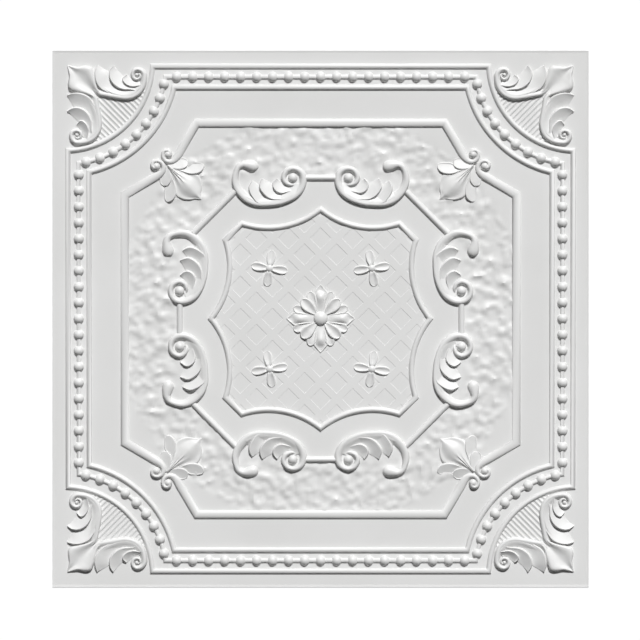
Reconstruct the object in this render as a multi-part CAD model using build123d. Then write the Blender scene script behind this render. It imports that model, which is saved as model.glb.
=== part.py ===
from build123d import *
from math import asin, atan2, cos, degrees, radians, sin
import os

# A square decorative panel formed from one plastic sheet, in millimetres. It lies on its back: the back
# is on z = 0, the face looks along +Z, and the origin is in the middle of the back. One quarter of it
# (x and y positive) is shaped and then mirrored twice. Every raised part is hollow behind.

# Sheet
panel_side = 600.0
wall = 1.0
lip_width = 3.0
lip_rise = 0.5

# Two border rails with a string of beads between them, all cut back by an arc at each corner
outer_rail_line = 282.4
outer_rail_width = 6.0
outer_rail_rise = 3.0
outer_rail_arc = 98.4
inner_rail_line = 258.8
inner_rail_width = 6.0
inner_rail_rise = 3.0
inner_rail_arc = 125.5
corner_centre = 286.5
bead_line = 270.4
bead_arc = 113.8
bead_size = 12.0
bead_rise = 5.0
bead_pitch = 17.9
side_beads = 19
corner_beads = 9
corner_bead_step = 8.22
string_width = 4.4
string_rise = 2.2

# Frame rail round the hammered field, which runs into a pair of volutes at each corner
frame_line = 219.0
frame_width = 9.4
frame_rise = 3.4
frame_shoulder = 2.4
frame_bend = 138.6
frame_slope_end = (160.8, 181.2)
frame_curl_radius = 10.0
frame_curl_angle = 60.0
frame_tip_radius = 7.0
frame_tip_angle = 100.0
frame_ball = (171.6, 183.6)
frame_ball_size = 12.0
frame_ball_rise = 5.0

# Octagon rail between the scrolls, and the medallion rail inside it
octagon_line = 157.6
octagon_width = 7.0
octagon_rise = 3.4
octagon_side_end = 17.0
octagon_slant_start = (95.4, 142.6)
medallion_width = 6.0
medallion_rise = 3.0
medallion_cusp = 122.5
medallion_dip = (57.0, 101.7)
medallion_corner = (88.0, 106.5)

# C-scrolls, two to each side of the octagon: a hook, a back and a volute in arcs that run into each other
scroll_start = (77.0, 167.6)
scroll_heading = 30.0
scroll_hook_arcs = ((18.0, 30.0), (8.4, 90.0))
scroll_back_arcs = ((32.0, 90.0), (75.0, 21.0), (23.0, 69.0))
scroll_volute_arcs = ((10.0, 90.0), (7.8, 90.0))
scroll_width = 6.6
scroll_rise = 3.6
scroll_hook_ball = (75.2, 169.4)
scroll_hook_ball_size = 12.4
scroll_volute_ball = (31.4, 158.0)
scroll_volute_ball_size = 12.0
scroll_ball_rise = 4.6
scroll_lobe_rise = 2.6

# Corner leaves
bud_tip = 283.0
bud_neck = 247.0
bud_rise = 4.0
leaf_rise = 3.2
leaf_volute = (203.5, 271.8)
leaf_volute_size = 15.8
leaf_volute_rise = 3.6

# Fleurons that point inward from the frame rail's corners
fleuron_root = 168.0
fleuron_tip = 133.3
fleuron_rise = 3.6
fleuron_lobe_rise = 2.6

# Four small flowers and the rosette in the middle
flower_place = (57.2, 56.4)
flower_turn = 8.3
flower_reach = 20.2
flower_petal_width = 10.2
flower_rise = 2.0
flower_ball_size = 8.0
rosette_ball_size = 15.0
rosette_ball_rise = 6.0
rosette_tip = 37.0
rosette_tip_rise = 2.4
rosette_waist = 15.0
rosette_waist_width = 9.0
rosette_shoulder = 28.0
rosette_shoulder_width = 14.6
rosette_brow = 33.0
rosette_brow_width = 8.4
rosette_round_reach = 29.7
rosette_round_width = 11.5
rosette_round_rise = 3.2
rosette_small_reach = 28.6
rosette_small_width = 8.4
rosette_small_angle = 25.0
rosette_small_rise = 2.0

# Raised parts are joined to the sheet from half its thickness up
foot_depth = wall / 2

bodies = []
hollows = []


def across(point):
    # The same point on the other side of the corner's diagonal.
    return (point[1], point[0])


def profile_plane(place, heading):
    # A plane square to a path on the sheet, with its own y along +Z.
    tangent_x = cos(radians(heading))
    tangent_y = sin(radians(heading))
    forward = (tangent_x, tangent_y, 0)
    sideways = (-tangent_y, tangent_x, 0)
    return Plane(origin=(place[0], place[1], 0), x_dir=sideways, z_dir=forward)


def round_profile(half_width, foot, spring, crown):
    left = (-half_width, spring)
    right = (half_width, spring)
    base = Polyline(left, (-half_width, foot), (half_width, foot), right)
    return make_face(base + ThreePointArc(right, (0, crown), left))


def flat_profile(half_width, foot, crown, shoulder):
    base = ((-half_width, foot), (half_width, foot))
    top = ((half_width, crown), (-half_width, crown))
    face = make_face(Polyline(*base, *top, close=True))
    return fillet(face.vertices().group_by(Axis.Y)[-1], shoulder)


def add_rail(path, place, heading, outer, inner):
    plane = profile_plane(place, heading)
    bodies.append(sweep(plane * outer, path=path, transition=Transition.RIGHT))
    hollows.append(sweep(plane * inner, path=path, transition=Transition.RIGHT))


def add_round_rail(path, place, heading, width, rise):
    outer = round_profile(width / 2, foot_depth, wall, wall + rise)
    inner = round_profile(width / 2 - wall, -wall, wall, rise)
    add_rail(path, place, heading, outer, inner)


def add_dome(place, size, rise):
    # A ball sunk into the sheet so that it stands out by its rise.
    height = wall + rise - size / 2
    foot_angle = degrees(asin((foot_depth - height) / (size / 2)))
    centre = Pos(place[0], place[1], height)
    bodies.append(centre * Sphere(size / 2, arc_size1=foot_angle, align=None))
    hollows.append(centre * Sphere(size / 2 - wall))


def add_raised(sketch, rise):
    # A flat-topped ornament, and a hollow behind it that is smaller by about the wall all round.
    face = sketch.face()
    middle = face.center()
    shrink = 1 - wall * face.outer_wire().length / (2 * face.area)
    up = (0, 0, 1)
    bodies.append(Pos(0, 0, foot_depth) * extrude(face, wall + rise - foot_depth, dir=up))
    behind = Pos(*(middle * (1 - shrink))) * Pos(0, 0, -wall)
    hollows.append(behind * extrude(scale(face, shrink), wall + rise, dir=up))


def add_oval(place, length, width, rise):
    # A petal that starts at its place and reaches along the place's own x.
    outer = place * Pos(length / 2, 0, foot_depth) * Ellipse(length / 2, width / 2)
    inner = place * Pos(length / 2, 0, -wall) * Ellipse(length / 2 - wall, width / 2 - wall)
    bodies.append(extrude(outer, wall + rise - foot_depth))
    hollows.append(extrude(inner, wall + rise))


def arc_outline(start, steps):
    # A closed outline of arcs, each given by a point on it and its end.
    edges = []
    here = start
    for via, end in steps:
        edges.append(ThreePointArc(here, via, end))
        here = end
    return make_face(edges)


def add_raised_pair(start, steps, rise):
    add_raised(arc_outline(start, steps), rise)
    add_raised(arc_outline(across(start), [(across(via), across(end)) for via, end in steps]), rise)


def corner_path(line, arc):
    # From the middle of one side, round the corner's hollow arc, to the middle of the next side.
    turn = corner_centre - (arc**2 - (corner_centre - line) ** 2) ** 0.5
    inmost = corner_centre - arc * cos(radians(45))
    first = Line((0, line), (turn, line))
    bend = ThreePointArc((turn, line), (inmost, inmost), (line, turn))
    last = Line((line, turn), (line, 0))
    return Wire([first.edge(), bend.edge(), last.edge()])


# Border rails and bead string
outer_path = corner_path(outer_rail_line, outer_rail_arc)
inner_path = corner_path(inner_rail_line, inner_rail_arc)
string_path = corner_path(bead_line, bead_arc)
add_round_rail(outer_path, (0, outer_rail_line), 0, outer_rail_width, outer_rail_rise)
add_round_rail(inner_path, (0, inner_rail_line), 0, inner_rail_width, inner_rail_rise)
add_round_rail(string_path, (0, bead_line), 0, string_width, string_rise)
for count in range(side_beads // 2 + 1):
    add_dome((count * bead_pitch, bead_line), bead_size, bead_rise)
    add_dome((bead_line, count * bead_pitch), bead_size, bead_rise)
for count in range(corner_beads):
    angle = radians(225 + (count - (corner_beads - 1) / 2) * corner_bead_step)
    place = (corner_centre + bead_arc * cos(angle), corner_centre + bead_arc * sin(angle))
    add_dome(place, bead_size, bead_rise)

# Frame rail
slope_start = (frame_bend, frame_line)
first_run = Line((0, frame_line), slope_start)
slope = Line(slope_start, frame_slope_end)
curl = JernArc(frame_slope_end, slope % 1, frame_curl_radius, frame_curl_angle)
tip = JernArc(curl @ 1, curl % 1, frame_tip_radius, frame_tip_angle)
frame_path = Wire([first_run.edge(), slope.edge(), curl.edge(), tip.edge()])
frame_outer = flat_profile(frame_width / 2, foot_depth, wall + frame_rise, frame_shoulder)
frame_inner = flat_profile(frame_width / 2 - wall, -wall, frame_rise, frame_shoulder - wall)
diagonal_mirror = Plane(origin=(0, 0, 0), z_dir=(1, -1, 0))
rails_before = len(bodies)
add_rail(frame_path, (0, frame_line), 0, frame_outer, frame_inner)
add_dome(frame_ball, frame_ball_size, frame_ball_rise)

# C-scroll beside the top of the octagon
edges = []
here = scroll_start
heading = Vector(cos(radians(scroll_heading)), sin(radians(scroll_heading)))
for radius, angle in scroll_hook_arcs + scroll_back_arcs + scroll_volute_arcs:
    arc = JernArc(here, heading, radius, -angle)
    edges.append(arc.edge())
    here = arc @ 1
    heading = arc % 1
add_round_rail(Wire(edges), scroll_start, scroll_heading, scroll_width, scroll_rise)
add_dome(scroll_hook_ball, scroll_hook_ball_size, scroll_ball_rise)
add_dome(scroll_volute_ball, scroll_volute_ball_size, scroll_ball_rise)
first_lobe = [
    ((82.0, 143.0), (77.4, 154.7)),
    ((72.5, 150.5), (67.5, 144.0)),
    ((60.5, 136.0), (55.0, 129.5)),
    ((60.5, 128.6), (66.0, 129.2)),
]
middle_lobe = [
    ((68.6, 145.5), (64.5, 157.6)),
    ((58.0, 152.5), (52.5, 147.0)),
    ((46.0, 139.0), (38.0, 133.0)),
    ((44.0, 130.4), (50.0, 129.0)),
]
last_lobe = [
    ((54.0, 147.0), (48.7, 157.6)),
    ((44.5, 155.0), (41.0, 150.0)),
    ((34.0, 145.0), (24.0, 142.0)),
    ((28.5, 137.6), (34.0, 134.6)),
]
for lobe in (first_lobe, middle_lobe, last_lobe):
    last_arc_end = lobe[-1][1]
    add_raised(arc_outline(last_arc_end, lobe), scroll_lobe_rise)

# The frame rail's other half and the scroll's neighbour are their mirror images across the diagonal
for piece in bodies[rails_before:]:
    bodies.append(mirror(piece, about=diagonal_mirror))
for piece in hollows[rails_before:]:
    hollows.append(mirror(piece, about=diagonal_mirror))

# Octagon and medallion rails
side_start = (0, octagon_line)
side_run = Wire([Line(side_start, (octagon_side_end, octagon_line)).edge()])
add_round_rail(side_run, side_start, 0, octagon_width, octagon_rise)
next_start = (octagon_line, octagon_side_end)
next_run = Wire([Line(next_start, (octagon_line, 0)).edge()])
add_round_rail(next_run, next_start, -90, octagon_width, octagon_rise)
slant_run = Wire([Line(octagon_slant_start, across(octagon_slant_start)).edge()])
add_round_rail(slant_run, octagon_slant_start, -45, octagon_width, octagon_rise)
upper_sweep = ThreePointArc((0, medallion_cusp), medallion_dip, medallion_corner)
corner_run = Line(medallion_corner, across(medallion_corner))
lower_sweep = ThreePointArc(across(medallion_corner), across(medallion_dip), (medallion_cusp, 0))
run_in = Line((upper_sweep @ 0) - (upper_sweep % 0) * medallion_width, upper_sweep @ 0)
run_out = Line(lower_sweep @ 1, (lower_sweep @ 1) + (lower_sweep % 1) * medallion_width)
medallion_runs = (run_in, upper_sweep, corner_run, lower_sweep, run_out)
medallion_path = Wire([run.edge() for run in medallion_runs])
run_in_start = run_in @ 0
run_in_heading = degrees(atan2((run_in % 0).Y, (run_in % 0).X))
medallion_start = (run_in_start.X, run_in_start.Y)
add_round_rail(medallion_path, medallion_start, run_in_heading, medallion_width, medallion_rise)

# Corner leaves: a bud on the diagonal and a lobed leaf on each side of it
bud_start = (bud_neck, bud_neck)
bud_end = (bud_tip, bud_tip)
bud_half = [((254.0, 262.0), (256.0, 280.4)), ((269.0, 279.6), bud_end)]
bud_back = [((279.6, 269.0), (280.4, 256.0)), ((262.0, 254.0), bud_start)]
add_raised(arc_outline(bud_start, bud_half + bud_back), bud_rise)
leaf_steps = [
    ((221.0, 245.4), (197.0, 266.0)),
    ((203.0, 270.0), (211.0, 270.0)),
    ((216.0, 275.0), (222.0, 272.0)),
    ((230.0, 281.4), (238.0, 275.0)),
    ((246.0, 283.0), (253.0, 272.0)),
    ((253.0, 262.0), (248.0, 251.0)),
]
add_raised_pair((248.0, 251.0), leaf_steps, leaf_rise)
add_dome(leaf_volute, leaf_volute_size, leaf_volute_rise)
add_dome(across(leaf_volute), leaf_volute_size, leaf_volute_rise)

# Fleuron: a pointed bud with two lobes on each side
fleuron_start = (fleuron_root, fleuron_root)
fleuron_end = (fleuron_tip, fleuron_tip)
fleuron_half = [((150.0, 163.0), (138.4, 161.6)), ((131.6, 150.0), fleuron_end)]
fleuron_back = [((150.0, 131.6), (161.6, 138.4)), ((163.0, 150.0), fleuron_start)]
add_raised(arc_outline(fleuron_start, fleuron_half + fleuron_back), fleuron_rise)
long_lobe = [
    ((144.0, 161.4), (133.0, 166.0)),
    ((130.8, 171.0), (134.0, 174.4)),
    ((144.0, 175.6), (156.0, 166.0)),
]
add_raised_pair((156.0, 166.0), long_lobe, fleuron_lobe_rise)
short_lobe = [
    ((159.0, 166.0), (152.6, 168.6)),
    ((148.6, 172.4), (151.0, 177.0)),
    ((159.0, 177.0), (166.0, 170.0)),
]
add_raised_pair((166.0, 170.0), short_lobe, fleuron_lobe_rise)

# Small flower
for count in range(4):
    petal = Pos(flower_place[0], flower_place[1]) * Rot(0, 0, flower_turn + 90 * count)
    add_oval(petal, flower_reach, flower_petal_width, flower_rise)
add_dome(flower_place, flower_ball_size, flower_rise + wall)

# Rosette
waist = (rosette_waist, rosette_waist_width / 2)
shoulder = (rosette_shoulder, rosette_shoulder_width / 2)
brow = (rosette_brow, rosette_brow_width / 2)
tip_steps = [
    (waist, shoulder),
    (brow, (rosette_tip, 0)),
    ((brow[0], -brow[1]), (shoulder[0], -shoulder[1])),
    ((waist[0], -waist[1]), (0, 0)),
]
for turn in (0, 90):
    add_raised(Rot(0, 0, turn) * arc_outline((0, 0), tip_steps), rosette_tip_rise)
add_oval(Rot(0, 0, 45), rosette_round_reach, rosette_round_width, rosette_round_rise)
for turn in (rosette_small_angle, 90 - rosette_small_angle):
    add_oval(Rot(0, 0, turn), rosette_small_reach, rosette_small_width, rosette_small_rise)
add_dome((0, 0), rosette_ball_size, rosette_ball_rise)

# Sheet with its turned-up lip, then everything joined, hollowed and cut to the quarter
half = panel_side / 2
sheet = Pos(half / 2, half / 2, wall / 2) * Box(half, half, wall)
lip_start = half - lip_width
lip_corners = ((lip_start, 0), (half, 0), (half, wall + lip_rise), (lip_start, wall))
lip_profile = make_face(Polyline(*lip_corners, close=True))
lip_side = extrude(Plane.XZ * lip_profile, -half)
lip_top = mirror(lip_side, about=diagonal_mirror)
tall = 2 * (wall + rosette_ball_rise)
quarter_box = Pos(half / 2, half / 2, tall / 2) * Box(half, half, tall)
joined = sheet.fuse(lip_side, lip_top).fuse(*bodies) & quarter_box
quarter = joined.solid().cut(*hollows).solid()

# Mirrored across both axes, the quarters only touch
side_half = quarter.fuse(mirror(quarter, about=Plane.YZ), glue=True).solid()
panel = side_half.fuse(mirror(side_half, about=Plane.XZ), glue=True).clean()

os.makedirs("parts", exist_ok=True)
export_step(panel.solid(), "parts/panel.step")
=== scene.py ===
import bpy
import bmesh
import math
import numpy as np
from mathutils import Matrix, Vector, noise


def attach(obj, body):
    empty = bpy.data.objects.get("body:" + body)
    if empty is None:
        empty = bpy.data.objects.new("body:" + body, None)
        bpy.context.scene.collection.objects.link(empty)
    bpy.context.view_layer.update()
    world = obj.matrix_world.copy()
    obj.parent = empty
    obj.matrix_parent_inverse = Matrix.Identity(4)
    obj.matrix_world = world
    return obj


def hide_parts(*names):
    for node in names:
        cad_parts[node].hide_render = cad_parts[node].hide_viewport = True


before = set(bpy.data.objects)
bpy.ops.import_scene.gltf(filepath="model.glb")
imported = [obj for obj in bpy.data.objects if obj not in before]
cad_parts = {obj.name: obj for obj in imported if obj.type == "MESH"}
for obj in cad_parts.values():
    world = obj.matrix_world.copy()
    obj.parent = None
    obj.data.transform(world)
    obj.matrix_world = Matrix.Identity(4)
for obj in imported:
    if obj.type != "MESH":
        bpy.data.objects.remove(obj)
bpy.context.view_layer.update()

scene = bpy.context.scene
mm = 0.001
wall = 1.0      # front face of the flat sheet above its back
foot = 0.3      # ornaments start this far up, inside the sheet
weldGap = 0.01      # points nearer than this are joined
sliver = 0.005      # edges shorter than this are taken out
leastMitre = 0.45      # keeps a sharp corner of a rail from running far out
panelPieces = []
print("frame loaded")

# white vinyl

vinylLook = dict(
    colour=(0.735, 0.735, 0.73), cloudColour=(0.71, 0.71, 0.703), cloudScale=9.0, cloudDetail=4.0,
    cloudEdges=(0.35, 0.65), roughness=(0.4, 0.5), shine=0.4,
    grainSize=0.0007, grainDepth=0.00001, grainStrength=0.3,
)


def makeWhiteVinyl(look):
    material = bpy.data.materials.new("whiteVinyl")
    material.use_nodes = True
    nodes, links = material.node_tree.nodes, material.node_tree.links
    shader = nodes["Principled BSDF"]
    shader.inputs["Specular IOR Level"].default_value = look["shine"]
    place = nodes.new("ShaderNodeTexCoord")
    cloud = nodes.new("ShaderNodeTexNoise")
    cloud.inputs["Scale"].default_value = look["cloudScale"]
    cloud.inputs["Detail"].default_value = look["cloudDetail"]
    links.new(place.outputs["Object"], cloud.inputs["Vector"])
    tint = nodes.new("ShaderNodeValToRGB")
    shades = (look["cloudColour"], look["colour"])
    for stop, edge, shade in zip(tint.color_ramp.elements, look["cloudEdges"], shades):
        stop.position = edge
        stop.color = (*shade, 1.0)
    links.new(cloud.outputs["Fac"], tint.inputs["Fac"])
    links.new(tint.outputs["Color"], shader.inputs["Base Color"])
    polish = nodes.new("ShaderNodeMapRange")
    polish.inputs["To Min"].default_value = look["roughness"][0]
    polish.inputs["To Max"].default_value = look["roughness"][1]
    links.new(cloud.outputs["Fac"], polish.inputs["Value"])
    links.new(polish.outputs["Result"], shader.inputs["Roughness"])
    grain = nodes.new("ShaderNodeTexNoise")
    grain.inputs["Scale"].default_value = 1.0 / look["grainSize"]
    links.new(place.outputs["Object"], grain.inputs["Vector"])
    bump = nodes.new("ShaderNodeBump")
    bump.inputs["Strength"].default_value = look["grainStrength"]
    bump.inputs["Distance"].default_value = look["grainDepth"]
    links.new(grain.outputs["Fac"], bump.inputs["Height"])
    links.new(bump.outputs["Normal"], shader.inputs["Normal"])
    return material


whiteVinyl = makeWhiteVinyl(vinylLook)
print("vinyl ready")

# small tools for curves, tubes, leaves and knobs, all in millimetres


def curveThrough(points, count, steps=14):
    pts = np.array(points, float)
    ends = np.vstack([2 * pts[0] - pts[1], pts, 2 * pts[-1] - pts[-2]])
    t = np.linspace(0, 1, steps, endpoint=False)[:, None]
    runs = []
    for a, b, c, d in zip(ends[:-3], ends[1:-2], ends[2:-1], ends[3:]):
        runs.append(0.5 * (2 * b + (c - a) * t + (2 * a - 5 * b + 4 * c - d) * t ** 2
                           + (3 * b - a - 3 * c + d) * t ** 3))
    fine = np.vstack(runs + [pts[-1:]])
    along = np.r_[0, np.cumsum(np.hypot(*np.diff(fine[:, :2], axis=0).T))]
    stops = np.linspace(0, along[-1], count)
    return np.column_stack([np.interp(stops, along, fine[:, k]) for k in range(fine.shape[1])])


def arcThrough(start, middle, end, count):
    (ax, ay), (bx, by), (cx, cy) = start, middle, end
    d = 2 * (ax * (by - cy) + bx * (cy - ay) + cx * (ay - by))
    ux = ((ax * ax + ay * ay) * (by - cy) + (bx * bx + by * by) * (cy - ay)
          + (cx * cx + cy * cy) * (ay - by)) / d
    uy = ((ax * ax + ay * ay) * (cx - bx) + (bx * bx + by * by) * (ax - cx)
          + (cx * cx + cy * cy) * (bx - ax)) / d
    radius = math.hypot(ax - ux, ay - uy)
    first, mid, last = (math.atan2(y - uy, x - ux) for x, y in (start, middle, end))
    turn = (last - first) % math.tau
    if (mid - first) % math.tau > turn:
        turn -= math.tau
    return [(ux + radius * math.cos(first + turn * k / count),
             uy + radius * math.sin(first + turn * k / count)) for k in range(count + 1)]


def smoothStep(low, high, value):
    t = np.clip((value - low) / (high - low), 0, 1)
    return t * t * (3 - 2 * t)


def gridFaces(rows, columns, first=0):
    return [(first + r * columns + c, first + r * columns + c + 1,
             first + (r + 1) * columns + c + 1, first + (r + 1) * columns + c)
            for r in range(rows - 1) for c in range(columns - 1)]


def gridRim(rows, columns):
    rim = [(0, c) for c in range(columns)]
    rim += [(r, columns - 1) for r in range(1, rows)]
    rim += [(rows - 1, c) for c in range(columns - 2, -1, -1)]
    rim += [(r, 0) for r in range(rows - 2, 0, -1)]
    return [r * columns + c for r, c in rim]


def closePatch(top, draft):
    # a sheet of points gets a flat underside and walls that lean out, as formed plastic does
    rows, columns = top.shape[:2]
    size = rows * columns
    rim = gridRim(rows, columns)
    faces = gridFaces(rows, columns)
    faces += [tuple(reversed(face)) for face in gridFaces(rows, columns, size)]
    faces += [(a, b, b + size, a + size) for b, a in zip(rim, rim[1:] + rim[:1])]
    top = top.reshape(-1, 3)
    edge = top[rim]
    run = np.roll(edge[:, :2], -1, 0) - np.roll(edge[:, :2], 1, 0)
    length = np.maximum(np.hypot(*run.T), 1e-6)      # never zero
    outward = np.column_stack([run[:, 1], -run[:, 0]]) / length[:, None]
    ahead = np.roll(edge, -1, 0)
    if (edge[:, 0] * ahead[:, 1] - edge[:, 1] * ahead[:, 0]).sum() < 0:
        outward = -outward
    under = top.copy()
    under[rim, :2] += outward * ((edge[:, 2] - foot) * draft)[:, None]
    under[:, 2] = foot
    return np.vstack([top, under]), faces


def leafPatch(lead, trail, rises, scoops, across, rows=18,
              farAcross=None, turnover=(0.15, 0.6), draft=0.3):
    # heights fall from rises by a share of scoops, spread across the leaf and along it
    a, b = curveThrough(lead, rows), curveThrough(trail, rows)
    s = np.linspace(0, 1, rows)
    rise = np.interp(s, *np.array(rises).T)[:, None]
    scoop = np.interp(s, *np.array(scoops).T)[:, None]
    t, near = np.array(across).T
    far = near if farAcross is None else np.interp(t, *np.array(farAcross).T)
    blend = smoothStep(*turnover, s)[:, None]
    top = np.empty((rows, len(t), 3))
    top[:, :, :2] = a[:, None] * (1 - t[None, :, None]) + b[:, None] * t[None, :, None]
    top[:, :, 2] = wall + rise * (1 - scoop * (near * (1 - blend) + far * blend))
    return closePatch(top, draft)


def bothSides(half):
    return half + [(1 - t, g) for t, g in reversed(half[:-1])]


def taperedTube(rows, count, fullness=2.0, lean=((0, 0),), edge=0.7, sides=16):
    # lean moves the ridge towards the left edge, by a share of the half width along the path
    path = curveThrough(rows, count)
    heading = np.gradient(path[:, :2], axis=0)
    heading /= np.linalg.norm(heading, axis=1)[:, None]
    side = np.column_stack([-heading[:, 1], heading[:, 0]])
    angle = np.linspace(0, math.pi, sides + 1)
    height = (1 - np.abs(np.cos(angle)) ** fullness) ** edge
    tilt = np.interp(np.linspace(0, 1, count), *np.array(lean, float).T)
    columns = sides + 3      # the arch, and a foot point on either side
    reach = np.ones((count, columns))
    reach[:, 1:-1] = np.cos(angle) + tilt[:, None] * np.sin(angle) ** 2
    reach[:, -1] = -1
    top = np.empty((count, columns, 3))
    top[:, :, :2] = path[:, None, :2] + side[:, None] * path[:, 2, None, None] * reach[:, :, None]
    top[:, 1:-1, 2] = wall + path[:, 3, None] * height[None, :]
    top[:, [0, -1], 2] = foot
    faces = gridFaces(count, columns)
    for r in range(count - 1):
        here, ahead = r * columns, (r + 1) * columns
        faces.append((here, ahead, ahead + columns - 1, here + columns - 1))
    faces.append(tuple(range(columns)))
    faces.append(tuple((count - 1) * columns + c for c in reversed(range(columns))))
    return top.reshape(-1, 3), faces


def knob(x, y, radius, rise, segments=24, rings=8):
    lift = np.linspace(0, math.pi / 2, rings, endpoint=False)
    turn = np.linspace(0, math.tau, segments, endpoint=False)
    reach = np.r_[1, np.cos(lift)] * radius
    height = np.r_[foot, wall + rise * np.sin(lift)]
    points = [(x + r * math.cos(a), y + r * math.sin(a), h)
              for r, h in zip(reach, height) for a in turn]
    faces = [(k * segments + c, k * segments + (c + 1) % segments,
              (k + 1) * segments + (c + 1) % segments, (k + 1) * segments + c)
             for k in range(rings) for c in range(segments)]
    points.append((x, y, wall + rise))
    faces += [(rings * segments + c, rings * segments + (c + 1) % segments, len(points) - 1)
              for c in range(segments)]
    faces.append(tuple(reversed(range(segments))))
    return np.array(points), faces


def joinParts(name, parts):
    points, faces, first = [], [], 0
    for corners, loops in parts:
        points.append(corners)
        faces += [tuple(first + k for k in loop) for loop in loops]
        first += len(corners)
    mesh = bpy.data.meshes.new(name)
    mesh.from_pydata((np.vstack(points) * mm).tolist(), [], faces)
    shape = bmesh.new()
    shape.from_mesh(mesh)
    bmesh.ops.remove_doubles(shape, verts=shape.verts, dist=weldGap * mm)
    bmesh.ops.dissolve_degenerate(shape, edges=shape.edges, dist=sliver * mm)
    bmesh.ops.recalc_face_normals(shape, faces=shape.faces)
    shape.to_mesh(mesh)
    shape.free()
    return mesh


def pathMesh(name, runs):
    # each run is a list of points and whether it closes; corners keep their mitre
    points, edges, mitres = [], [], []
    for run, closed in runs:
        first, count = len(points), len(run)
        for k, (x, y) in enumerate(run):
            points.append((x * mm, y * mm, 0.0))
            if closed or 0 < k < count - 1:
                back = Vector(run[k]) - Vector(run[k - 1])
                ahead = Vector(run[(k + 1) % count]) - Vector(run[k])
                mitres.append(1 / max(math.cos(back.angle(ahead, 0.0) / 2), leastMitre))
            else:
                mitres.append(1.0)
        edges += [(first + k, first + k + 1) for k in range(count - 1)]
        if closed:
            edges.append((first + count - 1, first))
    mesh = bpy.data.meshes.new(name)
    mesh.from_pydata(points, edges, [])
    mesh.attributes.new("mitre", "FLOAT", "POINT").data.foreach_set("value", mitres)
    return mesh


def fourTurns(run):
    turned = [run]
    for k in range(3):
        turned.append([(y, -x) for x, y in turned[-1]])
    return turned


# node trees


def startTree(name, inputs):
    tree = bpy.data.node_groups.new(name, "GeometryNodeTree")
    tree.interface.new_socket("Geometry", in_out="INPUT", socket_type="NodeSocketGeometry")
    for label, kind in inputs:
        tree.interface.new_socket(label, in_out="INPUT", socket_type="NodeSocket" + kind)
    tree.interface.new_socket("Geometry", in_out="OUTPUT", socket_type="NodeSocketGeometry")
    return tree, tree.nodes.new("NodeGroupInput").outputs, tree.nodes.new("NodeGroupOutput").inputs


def addNode(tree, kind, inputs, **settings):
    node = tree.nodes.new(kind)
    for key, value in settings.items():
        setattr(node, key, value)
    for key, value in inputs.items():
        if isinstance(value, bpy.types.NodeSocket):
            tree.links.new(value, node.inputs[key])
        else:
            node.inputs[key].default_value = value
    return node


def sums(tree, operation, *terms):
    return addNode(tree, "ShaderNodeMath", dict(enumerate(terms)), operation=operation).outputs[0]


def splitPosition(tree):
    here = addNode(tree, "GeometryNodeInputPosition", {})
    return addNode(tree, "ShaderNodeSeparateXYZ", {"Vector": here.outputs[0]}).outputs


def setHeight(tree, geometry, spot, height):
    moved = addNode(tree, "ShaderNodeCombineXYZ", {"X": spot["X"], "Y": spot["Y"], "Z": height})
    placed = addNode(tree, "GeometryNodeSetPosition", {
        "Geometry": geometry, "Position": moved.outputs[0]})
    return placed.outputs[0]


def finishTree(tree, geometry, material, target):
    solid = addNode(tree, "GeometryNodeRealizeInstances", {"Geometry": geometry})
    dressed = addNode(tree, "GeometryNodeSetMaterial", {
        "Geometry": solid.outputs[0], "Material": material})
    tree.links.new(dressed.outputs[0], target[0])


def makeRailTree():
    tree, given, target = startTree("railAlongPath", [
        ("Width", "Float"), ("Rise", "Float"), ("Fullness", "Float"), ("Edge", "Float"),
        ("Sides", "Int"), ("Face", "Float"), ("Foot", "Float"), ("Material", "Material")])
    curve = addNode(tree, "GeometryNodeMeshToCurve", {"Mesh": given["Geometry"]})
    level = addNode(tree, "GeometryNodeSetCurveNormal", {"Curve": curve.outputs[0]}, mode="Z_UP")
    circle = addNode(tree, "GeometryNodeCurvePrimitiveCircle", {
        "Resolution": given["Sides"], "Radius": 1.0})
    scale = addNode(tree, "ShaderNodeCombineXYZ", {
        "X": sums(tree, "MULTIPLY", given["Width"], 0.5), "Y": given["Rise"], "Z": 1.0})
    profile = addNode(tree, "GeometryNodeTransform", {
        "Geometry": circle.outputs[0], "Scale": scale.outputs[0]})
    named = addNode(tree, "GeometryNodeInputNamedAttribute", {"Name": "mitre"}, data_type="FLOAT")
    mitre = named.outputs[0]
    swept = addNode(tree, "GeometryNodeCurveToMesh", {
        "Curve": level.outputs[0], "Profile Curve": profile.outputs[0],
        "Scale": mitre, "Fill Caps": True})
    spot = splitPosition(tree)
    lift = sums(tree, "DIVIDE", spot["Z"], sums(tree, "MULTIPLY", given["Rise"], mitre))
    upper = sums(tree, "MAXIMUM", lift, 0.0)
    lower = sums(tree, "MINIMUM", lift, 0.0)
    # the circle's upper half becomes (1 - across ^ Fullness) ^ Edge
    square = sums(tree, "SUBTRACT", 1.0, sums(tree, "MULTIPLY", upper, upper))
    power = sums(tree, "MULTIPLY", given["Fullness"], 0.5)
    gap = sums(tree, "POWER", sums(tree, "MAXIMUM", square, 0.0), power)
    full = sums(tree, "POWER", sums(tree, "SUBTRACT", 1.0, gap), given["Edge"])
    above = sums(tree, "MULTIPLY_ADD", full, given["Rise"], given["Face"])
    below = sums(tree, "MULTIPLY", lower, sums(tree, "SUBTRACT", given["Face"], given["Foot"]))
    placed = setHeight(tree, swept.outputs[0], spot, sums(tree, "ADD", above, below))
    finishTree(tree, placed, given["Material"], target)
    return tree


beadSegments, beadRings = 20, 12


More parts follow.
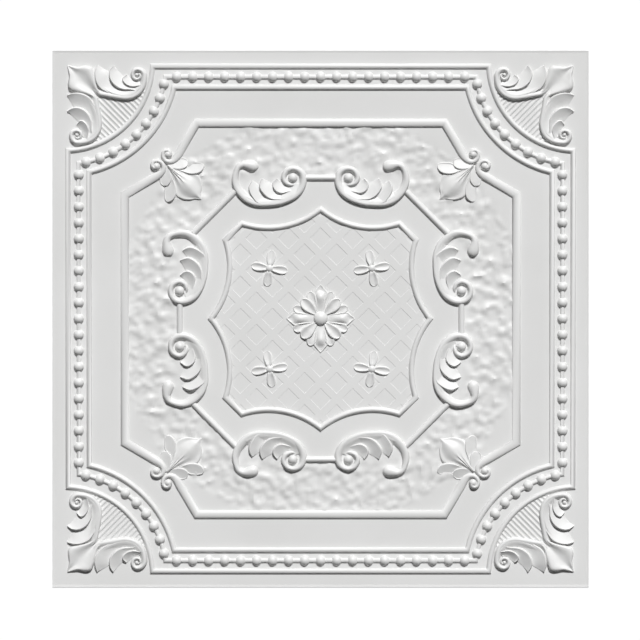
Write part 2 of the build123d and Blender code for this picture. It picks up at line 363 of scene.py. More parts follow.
def makeBeadTree():
    tree, given, target = startTree("beadsAlongPath", [
        ("Count", "Int"), ("Size", "Float"), ("Rise", "Float"), ("Face", "Float"), ("Foot", "Float"),
        ("Material", "Material")])
    curve = addNode(tree, "GeometryNodeMeshToCurve", {"Mesh": given["Geometry"]})
    stops = addNode(tree, "GeometryNodeCurveToPoints", {
        "Curve": curve.outputs[0], "Count": given["Count"]}, mode="COUNT")
    radius = sums(tree, "MULTIPLY", given["Size"], 0.5)
    ball = addNode(tree, "GeometryNodeMeshUVSphere", {
        "Segments": beadSegments, "Rings": beadRings, "Radius": radius})
    beads = addNode(tree, "GeometryNodeInstanceOnPoints", {
        "Points": stops.outputs[0], "Instance": ball.outputs[0]})
    solid = addNode(tree, "GeometryNodeRealizeInstances", {"Geometry": beads.outputs[0]})
    spot = splitPosition(tree)
    crown = sums(tree, "ADD", given["Face"], given["Rise"])
    raised = sums(tree, "ADD", spot["Z"], sums(tree, "SUBTRACT", crown, radius))
    # what would lie below the foot is pressed flat there
    height = sums(tree, "MAXIMUM", raised, given["Foot"])
    finishTree(tree, setHeight(tree, solid.outputs[0], spot, height), given["Material"], target)
    return tree


def makeTurnTree():
    tree, given, target = startTree("copiesAroundMiddle", [
        ("Turns", "Int"), ("Mirror", "Bool"), ("Material", "Material")])
    flipped = addNode(tree, "GeometryNodeTransform", {
        "Geometry": given["Geometry"], "Scale": (-1.0, 1.0, 1.0)})
    outward = addNode(tree, "GeometryNodeFlipFaces", {"Mesh": flipped.outputs[0]})
    both = tree.nodes.new("GeometryNodeJoinGeometry")
    tree.links.new(outward.outputs[0], both.inputs[0])
    tree.links.new(given["Geometry"], both.inputs[0])
    motif = addNode(tree, "GeometryNodeSwitch", {
        "Switch": given["Mirror"], "False": given["Geometry"], "True": both.outputs[0]},
        input_type="GEOMETRY")
    spots = addNode(tree, "GeometryNodePoints", {"Count": given["Turns"]})
    count = addNode(tree, "GeometryNodeInputIndex", {})
    angle = sums(tree, "MULTIPLY", count.outputs[0], sums(tree, "DIVIDE", math.tau, given["Turns"]))
    euler = addNode(tree, "ShaderNodeCombineXYZ", {"Z": angle})
    turn = addNode(tree, "FunctionNodeEulerToRotation", {"Euler": euler.outputs[0]})
    copies = addNode(tree, "GeometryNodeInstanceOnPoints", {
        "Points": spots.outputs[0], "Instance": motif.outputs[0], "Rotation": turn.outputs[0]})
    finishTree(tree, copies.outputs[0], given["Material"], target)
    return tree


railTree = makeRailTree()
beadTree = makeBeadTree()
turnTree = makeTurnTree()
print("node trees ready")


def runTree(name, mesh, tree, values):
    piece = bpy.data.objects.new(name, mesh)
    scene.collection.objects.link(piece)
    modifier = piece.modifiers.new(tree.name, "NODES")
    modifier.node_group = tree
    values = dict(values, Material=whiteVinyl)
    for item in tree.interface.items_tree:
        if item.in_out == "INPUT" and item.name in values:
            modifier[item.identifier] = values[item.name]
    view = bpy.context.evaluated_depsgraph_get()
    solid = bpy.data.meshes.new_from_object(piece.evaluated_get(view))
    piece.modifiers.clear()
    piece.data = solid
    solid.name = name
    return piece


def keepPiece(piece, sharp=48.0):
    piece.data.shade_smooth()
    piece.data.set_sharp_from_angle(angle=math.radians(sharp))
    panelPieces.append(piece)


railDefaults = dict(fullness=2.0, edge=0.6, sides=20)


def layRail(name, runs, size):
    size = dict(railDefaults, **size)
    piece = runTree(name, pathMesh(name + "Path", runs), railTree, {
        "Width": size["width"] * mm, "Rise": size["rise"] * mm, "Fullness": size["fullness"],
        "Edge": size["edge"], "Sides": size["sides"], "Face": wall * mm, "Foot": foot * mm})
    keepPiece(piece)


def layCopies(name, parts, turns=4, mirror=True):
    motif = joinParts(name + "Motif", parts)
    keepPiece(runTree(name, motif, turnTree, {"Turns": turns, "Mirror": mirror}))


def laySolid(name, part, sharp):
    mesh = joinParts(name, [part])
    mesh.materials.append(whiteVinyl)
    piece = bpy.data.objects.new(name, mesh)
    scene.collection.objects.link(piece)
    keepPiece(piece, sharp)


# sheet

sheetSize = dict(
    side=600.0, lipWidth=2.4, lipRise=0.45, cells=238, inset=0.5, sharp=30.0,
    hammerDepth=2.2, hammerGrain=8.6, hammerSeed=7.3, deepestDent=0.6,
    fineShare=0.5, finePitch=2.1,      # a second, smaller set of dents
    frameReach=219.0, frameSlope=230.4, slopeFacing=(0.863, 0.506),
    octagonReach=157.6, octagonSlant=238.0, fadeOut=4.0, fadeIn=9.0,
)


def hammeredBand(size, x, y):
    # dents between the frame and the octagon, fading out towards both
    ax, ay = np.abs(x), np.abs(y)
    more, less = size["slopeFacing"]
    inside = np.minimum.reduce([
        size["frameReach"] - ax, size["frameReach"] - ay,
        size["frameSlope"] - more * ax - less * ay, size["frameSlope"] - less * ax - more * ay])
    outside = np.maximum.reduce([
        ax - size["octagonReach"], ay - size["octagonReach"],
        (ax + ay - size["octagonSlant"]) / math.sqrt(2)])
    band = smoothStep(0, size["fadeOut"], inside) * smoothStep(0, size["fadeIn"], outside)
    hammer = np.zeros_like(x)
    grain = size["hammerGrain"]
    for r, c in zip(*np.nonzero(band)):
        spot = Vector((x[r, c] / grain, y[r, c] / grain, size["hammerSeed"]))
        fine = noise.noise(spot * size["finePitch"])
        hammer[r, c] = noise.noise(spot) + size["fineShare"] * fine
    return band * np.maximum(hammer * size["hammerDepth"], -size["deepestDent"])


def makeSheet(size):
    half = size["side"] / 2
    inner = half - size["lipWidth"]
    lines = np.linspace(-inner + size["inset"], inner - size["inset"], size["cells"] + 1)
    lines = np.r_[-half, -inner, lines, inner, half]
    x, y = np.meshgrid(lines, lines)
    lip = np.where(np.maximum(np.abs(x), np.abs(y)) > inner, size["lipRise"], 0.0)
    top = np.dstack([x, y, wall + lip + hammeredBand(size, x, y)])
    rows, columns = x.shape
    rim = gridRim(rows, columns)
    count = len(rim)
    points = top.reshape(-1, 3)
    under = points[rim] * (1, 1, 0)
    first = len(points)
    faces = gridFaces(rows, columns)
    faces += [(rim[(k + 1) % count], rim[k], first + k, first + (k + 1) % count)
              for k in range(count)]
    # the back is closed by strips from the near edge to the far one
    far = 3 * (columns - 1)      # place in the rim of the far edge's first column
    strips = [(far - c, far - c - 1, c + 1, c) for c in range(1, columns - 2)]
    strips.append([1, 0] + list(range(count - 1, far - 2, -1)))
    strips.append(list(range(far - columns + 2, columns - 3, -1)))
    faces += [tuple(first + k for k in strip) for strip in strips]
    return np.vstack([points, under]), faces


laySolid("panelSheet", makeSheet(sheetSize), sheetSize["sharp"])
print("sheet ready")

# border rails and beads

borderSize = dict(
    cornerCentre=286.5,
    outerRail=dict(line=282.5, arc=98.4, width=5.9, rise=3.1, fullness=1.6),
    innerRail=dict(line=258.9, arc=125.5, width=6.1, rise=3.2, fullness=1.6),
    beadString=dict(line=270.6, arc=113.8, width=5.0, rise=2.4),
    bead=dict(size=12.0, rise=5.0, sideCount=19, sidePitch=17.9,
              cornerCount=9, cornerStep=8.22, cornerFacing=225.0),
    arcSteps=36, beadArcSteps=40,
)


def arcRun(centre, reach, start, end, count):
    # the corners' arcs have the same centre along x and y
    turns = [start + (end - start) * k / count for k in range(count + 1)]
    return [(centre + reach * math.cos(turn), centre + reach * math.sin(turn)) for turn in turns]


def borderLoop(size, rail):
    # the hollow corner, turned to the four corners; straight sides join its ends
    drop = math.asin((size["cornerCentre"] - rail["line"]) / rail["arc"])
    start, end = math.pi + drop, 1.5 * math.pi - drop
    corner = arcRun(size["cornerCentre"], rail["arc"], start, end, size["arcSteps"])
    return [spot for run in fourTurns(corner) for spot in run]


for railName in ("outerRail", "innerRail", "beadString"):
    layRail(railName, [(borderLoop(borderSize, borderSize[railName]), True)], borderSize[railName])


def layBeads(size):
    bead, string = size["bead"], size["beadString"]
    reach = (bead["sideCount"] - 1) / 2 * bead["sidePitch"]
    side = [(-reach, string["line"]), (reach, string["line"])]
    spread = math.radians((bead["cornerCount"] - 1) / 2 * bead["cornerStep"])
    middle = math.radians(bead["cornerFacing"])
    corner = arcRun(size["cornerCentre"], string["arc"], middle - spread, middle + spread,
                    size["beadArcSteps"])
    for name, run, count in (("sideBeads", side, bead["sideCount"]),
                             ("cornerBeads", corner, bead["cornerCount"])):
        path = pathMesh(name + "Path", [(turned, False) for turned in fourTurns(run)])
        keepPiece(runTree(name, path, beadTree, {
            "Count": count, "Size": bead["size"] * mm, "Rise": bead["rise"] * mm,
            "Face": wall * mm, "Foot": foot * mm}))


layBeads(borderSize)
print("border ready")

# frame, octagon and medallion rails

frameSize = dict(
    line=219.0, bend=138.6, slopeEnd=(157.5, 186.8), width=9.5, rise=3.2,
    fullness=2.3, edge=0.55, sides=28, curlSteps=60,
    curl=[  # x, y, half width, rise
        (153.8, 193.1, 4.8, 3.1), (157.3, 187.1, 4.8, 3.3), (160.2, 182.0, 4.5, 3.5),
        (163.0, 178.3, 3.9, 3.7), (165.8, 176.2, 3.4, 3.9), (169.6, 175.6, 3.0, 4.0),
        (173.9, 177.4, 2.6, 4.1), (176.4, 181.8, 2.4, 4.2), (175.6, 186.4, 2.3, 4.3),
        (172.4, 188.3, 2.4, 4.5), (169.6, 187.2, 2.7, 4.7), (168.9, 184.6, 3.0, 4.9)],
    ball=(170.4, 183.7, 4.6, 5.4),      # x, y, radius, rise
)
octagonSize = dict(
    line=157.6, sideEnd=17.0, slantStart=(95.4, 142.6), width=6.9, rise=3.4, fullness=1.7)
medallionSize = dict(
    cusp=122.5, dip=(57.0, 101.7), corner=(88.0, 106.5), width=6.3, rise=3.3, fullness=1.7,
    arcSteps=30)

slopeX, slopeY = frameSize["slopeEnd"]
sideRun = [(slopeX, slopeY), (frameSize["bend"], frameSize["line"]),
           (-frameSize["bend"], frameSize["line"]), (-slopeX, slopeY)]
layRail("frameRail", [(run, False) for run in fourTurns(sideRun)], frameSize)
frameCurl = taperedTube(frameSize["curl"], frameSize["curlSteps"],
                        fullness=frameSize["fullness"], edge=frameSize["edge"])
layCopies("frameCurls", [frameCurl, knob(*frameSize["ball"])])

octagonSide = [(sign * octagonSize["sideEnd"], octagonSize["line"]) for sign in (-1, 1)]
octagonSlant = [octagonSize["slantStart"], octagonSize["slantStart"][::-1]]
octagonRuns = fourTurns(octagonSide) + fourTurns(octagonSlant)
layRail("octagonRail", [(run, False) for run in octagonRuns], octagonSize)


def medallionLoop(size):
    top = arcThrough((0.0, size["cusp"]), size["dip"], size["corner"], size["arcSteps"])
    side = [(y, x) for x, y in reversed(top)]
    return [spot for run in fourTurns(top + side[:-1]) for spot in run]


medallionLine = medallionLoop(medallionSize)
layRail("medallionRail", [(medallionLine, True)], medallionSize)
print("rails ready")

# lattice in the medallion

latticeSize = dict(
    pitch=25.4, band=8.4, ramp=0.2, rise=0.34, reach=130.0, bandMarks=4, gapMarks=8, sharp=12.0,
    lift=0.04,      # keeps the low diamonds off the face of the sheet
)


def insideLoop(loop, x, y):
    inside = np.zeros(x.shape, bool)
    for (ax, ay), (bx, by) in zip(loop, loop[1:] + loop[:1]):
        crossing = (ay > y) != (by > y)
        slope = (bx - ax) / ((by - ay) or 1.0)
        inside ^= crossing & (x < ax + (y - ay) * slope)
    return inside


def makeLattice(size, loop):
    pitch, half, ramp = size["pitch"], size["band"] / 2, size["ramp"] / 2
    steps = math.ceil(size["reach"] / pitch)
    marks = []
    for k in range(-steps, steps + 1):
        start, end = k * pitch - half, k * pitch + half
        marks += list(np.linspace(start + ramp, end - ramp, size["bandMarks"]))
        marks += list(np.linspace(end + ramp, start + pitch - ramp, size["gapMarks"]))
    lines = np.array(sorted(marks))
    away = np.abs((lines + pitch / 2) % pitch - pitch / 2)
    high = (away < half).astype(float)
    u, v = np.meshgrid(lines, lines)
    z = np.maximum(*np.meshgrid(high, high)) * size["rise"] + size["lift"]
    x, y = (u - v) / math.sqrt(2), (u + v) / math.sqrt(2)
    kept = insideLoop(loop, (x[:-1, :-1] + x[1:, 1:]) / 2, (y[:-1, :-1] + y[1:, 1:]) / 2)
    count = len(lines)
    layer = count * count      # from a point's place to the one below it
    top = np.column_stack([x.ravel(), y.ravel(), wall + z.ravel()])
    under = top * (1, 1, 0) + (0, 0, foot)
    faces = []
    for r, c in zip(*np.nonzero(kept)):
        a = r * count + c
        b, d, e = a + 1, a + count + 1, a + count
        faces.append((a, b, d, e))
        faces.append((e + layer, d + layer, b + layer, a + layer))
        edges = ((b, a, r - 1, c), (d, b, r, c + 1), (e, d, r + 1, c), (a, e, r, c - 1))
        for p, q, row, column in edges:
            if not (0 <= row < count - 1 and 0 <= column < count - 1 and kept[row, column]):
                faces.append((p, q, q + layer, p + layer))
    used = sorted({k for face in faces for k in face})
    place = {k: n for n, k in enumerate(used)}
    points = np.vstack([top, under])[used]
    return points, [tuple(place[k] for k in face) for face in faces]


laySolid("medallionLattice", makeLattice(latticeSize, medallionLine), latticeSize["sharp"])
print("lattice ready")

# ornaments

# share of the scoop taken at each place from the leading edge to the trailing edge
lobeAcross = [
    (0, 0.1), (0.025, 0.02), (0.05, 0.0), (0.08, 0.03), (0.13, 0.1), (0.25, 0.25), (0.4, 0.43),
    (0.55, 0.6), (0.7, 0.76), (0.85, 0.9), (1, 1.0)]
slopeAcross = [
    (0, 0.1), (0.03, 0.02), (0.06, 0.0), (0.1, 0.04), (0.17, 0.13), (0.28, 0.27), (0.45, 0.48),
    (0.65, 0.71), (0.84, 0.92), (0.9, 0.97), (0.94, 0.87), (0.97, 0.85), (1, 0.97)]
bodyAcross = [
    (0, 0.0), (0.12, 0.05), (0.25, 0.22), (0.4, 0.5), (0.6, 0.8), (0.8, 0.95), (1, 1.0)]
cupAcross = bothSides([
    (0, 0.24), (0.03, 0.06), (0.07, 0.0), (0.12, 0.1), (0.2, 0.4), (0.32, 0.78), (0.42, 0.95),
    (0.5, 1.0)])
bulgeAcross = bothSides([
    (0, 0.85), (0.04, 0.62), (0.07, 0.64), (0.1, 0.84), (0.13, 0.9), (0.16, 0.8), (0.22, 0.52),
    (0.3, 0.26), (0.4, 0.07), (0.5, 0.0)])
valleyAcross = bothSides([
    (0, 0.5), (0.03, 0.2), (0.07, 0.04), (0.12, 0.0), (0.2, 0.13), (0.28, 0.42), (0.36, 0.72),
    (0.44, 0.93), (0.5, 1.0)])
rootAcross = bothSides([
    (0, 1.0), (0.03, 0.9), (0.07, 0.82), (0.12, 0.85), (0.2, 0.6), (0.28, 0.3), (0.34, 0.25),
    (0.4, 0.6), (0.45, 0.55), (0.5, 0.15)])
dishAcross = bothSides([
    (0, 1.0), (0.03, 0.86), (0.06, 0.83), (0.1, 0.93), (0.15, 0.94), (0.2, 0.8), (0.26, 0.58),
    (0.32, 0.37), (0.38, 0.19), (0.44, 0.06), (0.5, 0.0)])
bodyRows, budRows = 24, 36      # rows of points along the larger leaves


def lobePatches(size, across):
    # a lobe without rises of its own takes the shared ones
    return [leafPatch(lobe["lead"], lobe["trail"], lobe.get("rises", size["lobeRises"]),
                      size["lobeScoops"], across) for lobe in size["lobes"]]


def stemmedLeaf(size):
    # a rolled stem, the knob in its eye, its lobes, and the hollow body that they grow from
    stem = taperedTube(size["stem"], size["stemSteps"], size["fullness"], size["lean"])
    body = size["body"]
    hollow = leafPatch(body["lead"], body["trail"], body["rises"], body["scoops"], bodyAcross, bodyRows)
    return [stem, knob(*size["eye"]), *lobePatches(size, lobeAcross), hollow]


def budPatch(bud, across, **rest):
    # the two edges mirror each other over the panel's diagonal
    trail = [(y, x) for x, y in bud["lead"]]
    return leafPatch(bud["lead"], trail, bud["rises"], bud["scoops"], across, budRows, **rest)


scrollSize = dict(
    stemSteps=230, fullness=2.3,
    stem=[  # x, y, half width, rise
        (69.6, 168.8, 0.8, 0.6), (70.0, 168.9, 2.3, 2.0), (70.7, 169.1, 3.7, 3.0),
        (72.0, 169.5, 5.2, 4.1), (74.8, 170.3, 6.5, 5.0), (78.4, 171.2, 6.4, 5.2),
        (82.0, 171.9, 5.5, 5.1), (86.8, 172.1, 4.3, 4.9), (91.2, 169.8, 3.8, 4.7),
        (93.8, 165.2, 3.5, 4.6), (95.3, 158.5, 4.0, 4.6), (95.0, 152.5, 4.4, 4.6),
        (92.6, 146.0, 4.7, 4.6), (87.5, 139.4, 5.0, 4.6), (80.5, 133.8, 5.0, 4.6),
        (72.0, 130.6, 4.7, 4.6), (62.0, 129.8, 4.3, 4.6), (48.0, 130.8, 4.1, 4.6),
        (35.0, 135.2, 4.3, 4.6), (25.0, 142.2, 4.5, 4.6), (19.8, 152.0, 4.3, 4.6),
        (20.4, 161.0, 4.0, 4.6), (25.0, 166.2, 3.6, 4.6), (31.6, 167.8, 3.2, 4.5),
        (38.0, 165.2, 3.2, 4.4), (41.4, 158.5, 3.2, 4.3), (39.2, 152.6, 3.0, 4.2),
        (34.3, 150.0, 2.4, 3.6), (31.0, 149.8, 1.6, 2.4), (28.8, 150.6, 0.8, 1.0)],
    lean=[(0, 0), (0.1, 0), (0.22, 0.3), (0.4, 0.45), (0.6, 0.4), (0.75, 0.1), (1, 0)],
    eye=(31.2, 157.6, 5.4, 5.2),      # x, y, radius, rise
    lobes=[
        dict(lead=[(62, 128.5), (71, 129.7), (75, 134), (78.6, 140.4), (79.8, 146.8), (76.6, 154)],
             trail=[(48, 130), (57, 135), (64, 142), (69.3, 149.6), (73, 152), (76.6, 154)]),
        dict(lead=[(40, 133), (46.1, 133.1), (54.9, 133.6), (61.3, 137.2), (66.1, 142.8),
                   (68.1, 148.4), (65.3, 156.7)],
             trail=[(32, 137), (40, 138.5), (47, 142.5), (54.1, 150.8), (59.6, 153.8), (65.3, 156.7)]),
        dict(lead=[(22, 146), (28, 144.2), (34.1, 142.6), (39.7, 141.2), (45.3, 140.4), (50.9, 143.6),
                   (53.3, 150), (48.9, 156.7)],
             trail=[(22, 149), (27, 148), (32, 147.4), (37, 148.3), (41, 150.4), (44.9, 153.2),
                    (48.9, 156.7)],
             rises=[(0, 0.8), (0.25, 2.0), (0.42, 3.4), (0.58, 4.8), (0.75, 4.8), (0.9, 3.6), (1, 2.4)]),
    ],
    lobeRises=[(0, 4.2), (0.3, 5.0), (0.5, 5.5), (0.75, 5.2), (0.9, 3.9), (1, 2.4)],
    lobeScoops=[(0, 0.55), (0.2, 0.75), (0.42, 0.9), (0.82, 0.9), (0.94, 0.65), (1, 0)],
    body=dict(lead=[(84, 136.5), (72, 130.6), (62, 129.8), (48, 130.8), (35, 135.2), (25, 142.2),
                    (20.5, 149)],
              trail=[(80, 143), (69, 142), (57, 141.5), (46, 143.5), (38, 146.5), (33, 149.5),
                     (29.5, 153)],
              rises=[(0, 4.4), (0.8, 4.4), (1, 2.6)], scoops=[(0, 0.92), (0.6, 0.9), (1, 0.7)]),
)
layCopies("scrolls", stemmedLeaf(scrollSize))
print("scrolls ready")

cornerSize = dict(
    stemSteps=130, fullness=2.0,
    stem=[  # x, y, half width, rise
        (256.0, 260.0, 1.4, 1.4), (251.4, 255.8, 2.6, 3.2), (246.0, 253.0, 3.6, 4.1),
        (239.5, 251.9, 4.0, 4.5), (232.5, 250.8, 4.3, 4.7), (225.5, 249.6, 4.4, 4.8),
        (218.0, 248.8, 4.4, 4.8), (210.8, 250.2, 4.4, 4.8), (204.4, 254.2, 4.4, 4.8),
        (199.8, 260.4, 4.2, 4.8), (197.6, 267.6, 3.8, 4.7), (197.6, 273.4, 3.5, 4.6),
        (200.6, 277.4, 3.2, 4.5), (205.2, 278.8, 2.8, 4.4), (208.8, 277.0, 2.6, 4.3),
        (210.3, 273.2, 2.4, 4.2), (208.9, 269.4, 2.2, 4.1), (205.3, 267.9, 2.0, 4.0),
        (202.3, 269.6, 1.8, 3.9), (201.9, 272.6, 1.5, 3.6), (203.6, 274.6, 1.0, 2.8)],
    eye=(205.6, 272.8, 2.3, 4.0),
    lean=[(0, 0), (0.12, 0.4), (0.5, 0.4), (0.65, 0.1), (1, 0)],
    lobes=[
        dict(lead=[(238, 252.5), (246, 257.5), (249.8, 262.5), (251.9, 268.5), (252.2, 275.2), (250, 283.1)],
             trail=[(222, 254), (229, 261), (233, 268), (236.5, 275.2), (243, 279.6), (250, 283.1)]),
        dict(lead=[(207, 255), (214, 256.3), (220.8, 256.5), (227.5, 259.1), (233.1, 264.1), (235.9, 270.8),
                   (235.4, 277.5), (232, 283.1)],
             trail=[(202, 258), (209, 261), (215, 265.5), (221.9, 272.5), (227.5, 278), (232, 283.1)]),
        dict(lead=[(200, 261), (205.1, 260.2), (210.7, 259.6), (216.3, 261.3), (220.2, 264.6), (221.3, 268.5),
                   (217.4, 272.5)],
             trail=[(200, 264), (204, 264.5), (208, 266), (211.5, 268.5), (214.4, 270.8), (217.4, 272.5)]),
    ],
    lobeRises=[(0, 4.2), (0.3, 5.0), (0.5, 5.6), (0.75, 5.2), (0.9, 3.9), (1, 2.4)],
    lobeScoops=[(0, 0.55), (0.2, 0.75), (0.42, 0.9), (0.82, 0.9), (0.94, 0.65), (1, 0)],
    body=dict(lead=[(246.5, 264), (240, 256), (230, 251.2), (218, 248.8), (208, 251.6), (199.8, 260.4)],
              trail=[(243, 269), (235, 264), (226, 262), (217, 262.5), (210, 264.5), (204, 266)],
              rises=[(0, 3.6), (0.3, 4.6), (1, 4.6)], scoops=[(0, 0.8), (0.5, 0.9), (1, 0.8)]),
    bud=dict(lead=[(243, 252.8), (247, 254.4), (249.4, 257.2), (250.9, 261), (252.6, 268), (254.8, 276),
                   (257, 280.6), (262.5, 282), (271, 280.8), (277, 281.8), (282.8, 283)],
             rises=[(0, 3.4), (0.08, 4.2), (0.3, 5.1), (0.6, 5.3), (0.85, 3.8), (1, 1.8)],
             scoops=[(0, 0.99), (0.1, 0.92), (0.25, 0.75), (0.5, 0.62), (0.9, 0.5), (1, 0)]),
)
layCopies("cornerLeaves", stemmedLeaf(cornerSize))
layCopies("cornerBuds", [budPatch(cornerSize["bud"], valleyAcross)], mirror=False)

ribSize = dict(
    count=18, spacing=4.7, width=3.0, rise=0.7, sides=10, arcCentre=405.2, arc=98.4,
    reach=[(0, 352), (5, 346), (17.7, 331), (30, 329), (50, 329)],      # off the diagonal, along it
)


def ribRuns(size):
    runs = []
    spread, limit = np.array(size["reach"], float).T
    for k in range(size["count"]):
        v = (k - (size["count"] - 1) / 2) * size["spacing"]
        start = size["arcCentre"] - math.sqrt(size["arc"] ** 2 - v ** 2)
        end = float(np.interp(abs(v), spread, limit))
        run = [((u - v) / math.sqrt(2), (u + v) / math.sqrt(2)) for u in (start, end)]
        runs += [(turned, False) for turned in fourTurns(run)]
    return runs


layRail("cornerRibs", ribRuns(ribSize), ribSize)
print("corners ready")

fleuronSize = dict(
    bud=dict(lead=[(171.5, 170), (167.5, 162), (164.8, 156), (162.9, 147.1), (161.6, 138.4),
                   (157.9, 135.2), (152, 133.2), (146, 133.2), (140, 134.4), (133.5, 133.4)],
             rises=[(0, 4.4), (0.35, 5.4), (0.6, 5.1), (0.8, 3.7), (0.92, 2.5), (1, 1.1)],
             scoops=[(0, 0.6), (0.4, 0.76), (0.7, 0.78), (0.92, 0.5), (1, 0)]),
    lobes=[
        dict(lead=[(164, 166.5), (158.5, 166), (154.5, 164.8), (148.9, 162.6), (143.3, 161.8), (137.7, 162.6),
                   (133.6, 165), (131.2, 168.4), (130.8, 171.2)],
             trail=[(163, 169.5), (158, 169), (152.3, 169), (149.2, 172), (146, 174.2), (141, 174.8),
                    (136, 174.5), (132.6, 173.6), (130.8, 171.2)]),
        dict(lead=[(170, 169), (164.5, 168), (159, 167), (155, 167.4), (151.4, 169), (149, 171.4),
                   (148.6, 174)],
             trail=[(171, 173), (166, 176), (160, 179), (155, 180), (151.6, 179.2), (149.2, 177),
                    (148.6, 174)]),
    ],
    lobeRises=[(0, 2.2), (0.4, 3.4), (0.7, 3.4), (0.9, 2.4), (1, 1.5)],
    lobeScoops=[(0, 0.3), (0.35, 0.85), (0.75, 0.85), (0.93, 0.5), (1, 0)],
)
layCopies("fleuronLobes", lobePatches(fleuronSize, slopeAcross))
layCopies("fleuronBuds", [budPatch(fleuronSize["bud"], rootAcross, farAcross=dishAcross)], mirror=False)
print("fleurons ready")


def petal(half, middle, angle, rises, scoops, across, rows=16, **rest):
    # half is the outline on one side as distance from the middle and half width
    turn = math.radians(angle)
    sides = []
    for sign in (1, -1):
        sides.append([(middle[0] + r * math.cos(turn) - sign * w * math.sin(turn),
                       middle[1] + r * math.sin(turn) + sign * w * math.cos(turn)) for r, w in half])
    return leafPatch(sides[0], sides[1], rises, scoops, across, rows, **rest)


flowerSize = dict(
    middle=(57.2, 56.4), turn=8.3, angles=(0, 90, 180, 270),
    ball=(4.6, 3.9),      # radius, rise
    petal=[(2.0, 1.6), (6.0, 3.1), (10.0, 4.2), (14.0, 4.6), (17.4, 4.0), (19.6, 2.2), (20.3, 0.0)],
    rises=[(0, 1.6), (0.15, 3.1), (0.45, 2.4), (0.8, 1.3), (1, 0.6)],
    scoops=[(0, 0.1), (0.4, 0.55), (0.8, 0.6), (0.94, 0.4), (1, 0)],
)
flowerParts = [petal(flowerSize["petal"], flowerSize["middle"], flowerSize["turn"] + angle,
                     flowerSize["rises"], flowerSize["scoops"], cupAcross)
               for angle in flowerSize["angles"]]
flowerParts.append(knob(*flowerSize["middle"], *flowerSize["ball"]))
layCopies("flowers", flowerParts, turns=2)

rosetteSize = dict(
    middle=(0.0, 0.0), ball=(8.2, 6.0), ballSegments=40, ballRings=12,
    axisAngle=90.0, axisRows=30, axisTurnover=(0.62, 0.78),
    axisPetal=[(6.0, 4.2), (12.0, 4.9), (18.7, 5.8), (24.0, 6.9), (28.8, 7.7), (33.2, 4.6), (38.0, 0.0)],
    axisRises=[(0, 1.2), (0.15, 1.6), (0.3, 2.8), (0.47, 4.5), (0.54, 4.5), (0.7, 2.2), (0.8, 1.6),
               (1, 1.4)],
    axisScoops=[(0, 0.1), (0.18, 0.2), (0.36, 0.5), (0.55, 0.68), (0.7, 0.5), (0.9, 0.5), (1, 0)],
    slantAngle=45.0, slantRows=18,
    slantPetal=[(7.0, 1.4), (12.0, 3.6), (17.0, 5.4), (22.0, 6.2), (26.2, 5.3), (28.8, 3.0), (29.8, 0.0)],
    slantRises=[(0, 2.0), (0.15, 2.6), (0.45, 4.0), (0.75, 3.6), (1, 2.4)],
    slantScoops=[(0, 0.15), (0.35, 0.4), (0.75, 0.44), (0.93, 0.35), (1, 0)],
    lobe=[(8.0, 2.0), (15.0, 3.4), (22.0, 4.9), (27.0, 5.0), (30.2, 3.9), (31.8, 2.0), (32.4, 0.0)],
    lobeAngles=(22.8, 67.2),
    lobeRises=[(0, 0.4), (0.4, 1.6), (0.7, 2.5), (1, 1.5)],
    lobeScoops=[(0, 0.2), (0.5, 0.5), (0.92, 0.4), (1, 0)],
)
rosetteParts = [
    petal(rosetteSize["axisPetal"], rosetteSize["middle"], rosetteSize["axisAngle"],
          rosetteSize["axisRises"], rosetteSize["axisScoops"], bulgeAcross, rosetteSize["axisRows"],
          farAcross=cupAcross, turnover=rosetteSize["axisTurnover"]),
    petal(rosetteSize["slantPetal"], rosetteSize["middle"], rosetteSize["slantAngle"],
          rosetteSize["slantRises"], rosetteSize["slantScoops"], cupAcross, rosetteSize["slantRows"]),
]
for lobeAngle in rosetteSize["lobeAngles"]:
    rosetteParts.append(petal(rosetteSize["lobe"], rosetteSize["middle"], lobeAngle,
                              rosetteSize["lobeRises"], rosetteSize["lobeScoops"], cupAcross))
layCopies("rosettePetals", rosetteParts, mirror=False)
rosetteBall = knob(*rosetteSize["middle"], *rosetteSize["ball"],
                   rosetteSize["ballSegments"], rosetteSize["ballRings"])
layCopies("rosetteBall", [rosetteBall], turns=1, mirror=False)
print("flowers ready")

for piece in panelPieces:
    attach(piece, "root")
    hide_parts("panel")

# floor, light and camera

stageSize = dict(
    floor=4.0, floorColour=0.5, floorRoughness=0.9, glow=0.56, ambient=0.03,
    sun=4.0, sunAngle=5.0, sunHeight=45.0, sunTurn=12.0, sunDistance=3.0,
    lens=200.0, sensor=36.0, frameWidth=716.4, centre=(-0.67, -1.45), seenBeyond=2.0,
)


def seenOrMirrored(nodes, links):
    # one for rays that show the background, straight or in a gloss
    rays = nodes.new("ShaderNodeLightPath")
    last = rays.outputs["Is Camera Ray"]
    for kind in ("Is Glossy Ray", "Is Transmission Ray"):
        either = nodes.new("ShaderNodeMath")
        either.operation = "MAXIMUM"
        links.new(last, either.inputs[0])
        links.new(rays.outputs[kind], either.inputs[1])
        last = either.outputs[0]
    return last


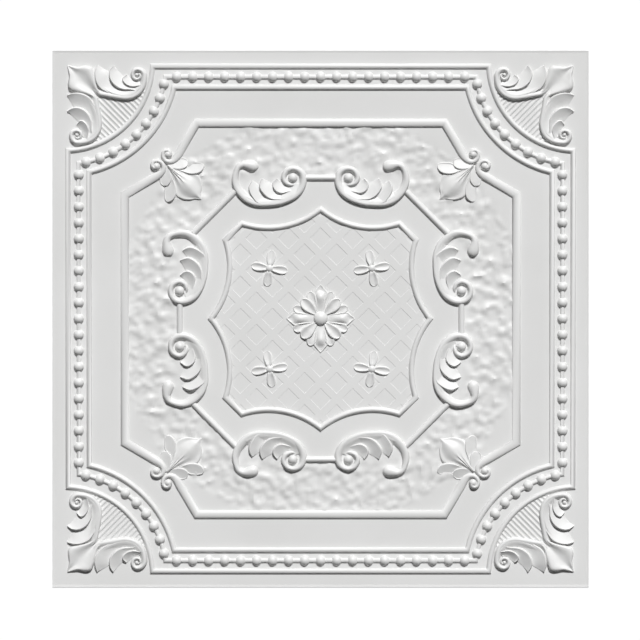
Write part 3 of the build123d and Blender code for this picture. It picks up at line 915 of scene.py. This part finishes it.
def makeFloor(size):
    mesh = bpy.data.meshes.new("floor")
    reach = size["floor"] / 2
    corners = [(-reach, -reach, 0), (reach, -reach, 0), (reach, reach, 0), (-reach, reach, 0)]
    mesh.from_pydata(corners, [], [(0, 1, 2, 3)])
    material = bpy.data.materials.new("whiteFloor")
    material.use_nodes = True
    nodes, links = material.node_tree.nodes, material.node_tree.links
    shader = nodes["Principled BSDF"]
    shader.inputs["Base Color"].default_value = (size["floorColour"],) * 3 + (1,)
    shader.inputs["Roughness"].default_value = size["floorRoughness"]
    shader.inputs["Specular IOR Level"].default_value = 0.0
    shader.inputs["Emission Color"].default_value = (1, 1, 1, 1)
    glow = nodes.new("ShaderNodeMath")
    glow.operation = "MULTIPLY"
    glow.inputs[1].default_value = size["glow"]
    links.new(seenOrMirrored(nodes, links), glow.inputs[0])
    links.new(glow.outputs[0], shader.inputs["Emission Strength"])
    mesh.materials.append(material)
    floor = bpy.data.objects.new("floor", mesh)
    scene.collection.objects.link(floor)


def makeWorld(size):
    world = bpy.data.worlds.new("paleRoom")
    world.use_nodes = True
    scene.world = world
    nodes, links = world.node_tree.nodes, world.node_tree.links
    back = nodes["Background"]
    back.inputs["Color"].default_value = (1, 1, 1, 1)
    level = nodes.new("ShaderNodeMapRange")
    level.inputs["To Min"].default_value = size["ambient"]
    level.inputs["To Max"].default_value = 1.0
    links.new(seenOrMirrored(nodes, links), level.inputs["Value"])
    links.new(level.outputs["Result"], back.inputs["Strength"])


def makeSun(size):
    lamp = bpy.data.lights.new("windowLight", "SUN")
    lamp.energy = size["sun"]
    lamp.angle = math.radians(size["sunAngle"])
    sun = bpy.data.objects.new("windowLight", lamp)
    up, turn = math.radians(size["sunHeight"]), math.radians(size["sunTurn"])
    towards = Vector((math.sin(turn) * math.cos(up), math.cos(turn) * math.cos(up), math.sin(up)))
    sun.rotation_euler = (-towards).to_track_quat("-Z", "Y").to_euler()
    sun.location = towards * size["sunDistance"]
    scene.collection.objects.link(sun)


def makeCamera(size):
    lens = bpy.data.cameras.new("camera")
    lens.type = "PERSP"
    lens.lens = size["lens"]
    lens.sensor_width = size["sensor"]
    camera = bpy.data.objects.new("camera", lens)
    height = size["lens"] / size["sensor"] * size["frameWidth"] * mm
    camera.location = (size["centre"][0] * mm, size["centre"][1] * mm, height)
    lens.clip_end = height + size["seenBeyond"]
    scene.collection.objects.link(camera)
    scene.camera = camera


makeFloor(stageSize)
makeWorld(stageSize)
makeSun(stageSize)
makeCamera(stageSize)
scene.view_settings.view_transform = "Standard"
print("stage ready")
